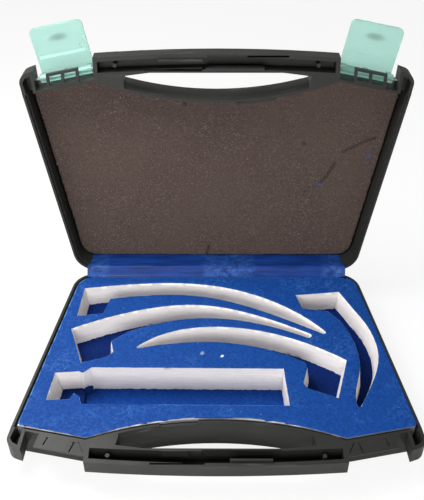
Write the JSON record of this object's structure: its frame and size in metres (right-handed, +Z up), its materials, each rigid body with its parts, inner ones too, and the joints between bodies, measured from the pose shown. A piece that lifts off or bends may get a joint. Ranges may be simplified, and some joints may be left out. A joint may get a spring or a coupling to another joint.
{
  "type": "laryngoscope case",
  "caption": "Flat hinged carrying case with a moulded grip, two flip latches, a lid foam pad and a foam insert cut out for a laryngoscope handle and blades.",
  "frame": {"origin": "on the flat underside of the base, on the centre line, 80 mm forward of the hinge line", "axes": "+X to the right seen from the front, +Y towards the hinge, +Z up"},
  "size_m": [0.2486, 0.211, 0.1983],
  "materials": {
    "black_plastic": "moulded black polypropylene with a fine grain",
    "green_plastic": "translucent mint green moulded plastic",
    "steel_pin": "drawn steel wire",
    "white_foam": "cut closed-cell white foam",
    "blue_lining": "blue flocked sheet",
    "navy_lining": "dark blue flocked sheet",
    "blue_flap": "blue coated cloth",
    "brown_foam": "open-cell brown-grey foam"
  },
  "bodies": {
    "base": {"base_shell": "black_plastic", "hinge_pin_left": "steel_pin", "hinge_pin_right": "steel_pin", "foam_upper_layer": "white_foam", "foam_lower_layer": "white_foam", "top_lining": "blue_lining", "blade_floor_lining": "navy_lining", "handle_floor_lining": "navy_lining", "handle_head_lining": "navy_lining", "hinge_flap": "blue_flap"},
    "lid": {"lid_shell": "black_plastic", "lid_foam": "brown_foam", "latch_pin_left": "steel_pin", "latch_pin_right": "steel_pin"},
    "left_latch": {"latch_left": "green_plastic"},
    "right_latch": {"latch_right": "green_plastic"}
  },
  "joints": [
    {"name": "lid_hinge", "type": "hinge", "parent": "base", "child": "lid", "pos_m": [0, 0.08, 0.025], "axis": [1, 0, 0], "range_deg": [0, 100], "deforming": ["hinge_flap"]},
    {"name": "latch_left_hinge", "type": "hinge", "parent": "lid", "child": "left_latch", "pos_m": [-0.0952, 0.11327, 0.1676], "axis": [0.9795, 0.035, 0.1984], "range_deg": [0, 90]},
    {"name": "latch_right_hinge", "type": "hinge", "parent": "lid", "child": "right_latch", "pos_m": [0.0952, 0.11327, 0.1676], "axis": [0.9795, -0.035, -0.1984], "range_deg": [0, 90]}
  ]
}
